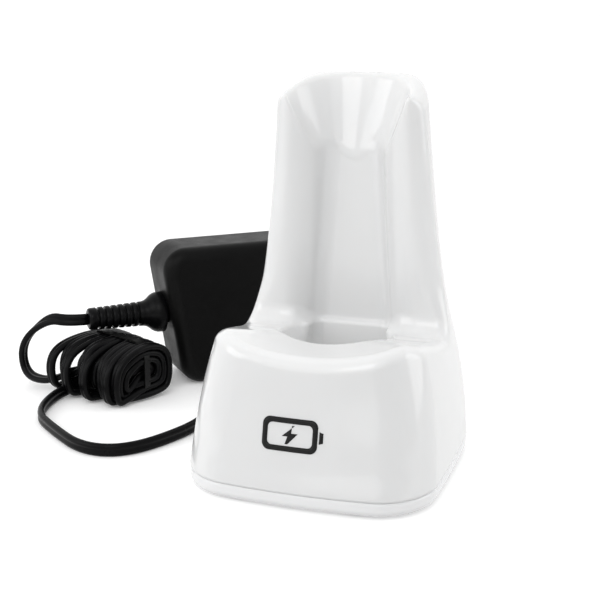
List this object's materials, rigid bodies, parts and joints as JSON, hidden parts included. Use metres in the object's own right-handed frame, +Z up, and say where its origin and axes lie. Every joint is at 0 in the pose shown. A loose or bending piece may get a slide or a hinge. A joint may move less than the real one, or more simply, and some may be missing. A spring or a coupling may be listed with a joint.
{
  "type": "curing light charging stand",
  "caption": "Desk charging stand for a cordless dental curing light: weighted white cradle with an upright trough, sprung contacts in a well, and a black mains adapter on a flat lead.",
  "frame": {"origin": "on the table, under the centre of the stand's own box (the lead, hank and adapter not counted)", "axes": "+Z up, the stand's front faces -Y, its power socket faces +Y"},
  "size_m": [0.1922, 0.1784, 0.1325],
  "materials": {
    "white_shell": "glossy moulded",
    "white_plate": "satin moulded",
    "rubber": "matte",
    "label": "matte film",
    "steel": "machined",
    "zinc": "bright plated",
    "board": "solder mask",
    "black_plastic": "fine texture",
    "copper": "enamelled wire",
    "sleeve": "shrink sleeve",
    "gold": "gold plated",
    "natural": "natural",
    "cord": "soft satin",
    "aluminium": "extruded",
    "tie": "coated wire"
  },
  "bodies": {
    "stand": {"upper_shell": "white_shell", "bottom_plate": "white_plate", "rubber_feet": "rubber", "shell_screws": "zinc", "rating_label": "label", "ballast_weight": "steel", "circuit_board": "board", "board_screws": "zinc", "power_socket": "black_plastic", "socket_centre_pin": "zinc", "charge_coil": "copper", "smoothing_capacitor": "sleeve", "charge_controller": "black_plastic", "contact_carrier": "natural", "contact_spring_left": "steel", "contact_spring_right": "steel", "plug_sleeve": "zinc", "plug_grip": "cord", "cord_lead_front": "cord", "cord_hank": "cord", "cord_lead_back": "cord", "cord_tie": "tie", "adapter_front_shell": "black_plastic", "adapter_rear_shell": "black_plastic", "adapter_strain_relief": "cord", "mains_blades": "zinc", "adapter_board": "board", "adapter_transformer": "copper", "adapter_capacitors": "sleeve", "adapter_heat_sink": "aluminium"},
    "left_contact": {"contact_pin_left": "gold"},
    "right_contact": {"contact_pin_right": "gold"}
  },
  "joints": [
    {"name": "left_contact_slide", "type": "slide", "parent": "stand", "child": "left_contact", "axis": [0, 0, -1], "range_m": [0, 0.0015], "stiffness_N_per_m": 400, "springref_m": -0.001, "deforming": ["contact_spring_left"]},
    {"name": "right_contact_slide", "type": "slide", "parent": "stand", "child": "right_contact", "axis": [0, 0, -1], "range_m": [0, 0.0015], "stiffness_N_per_m": 400, "springref_m": -0.001, "deforming": ["contact_spring_right"]}
  ]
}
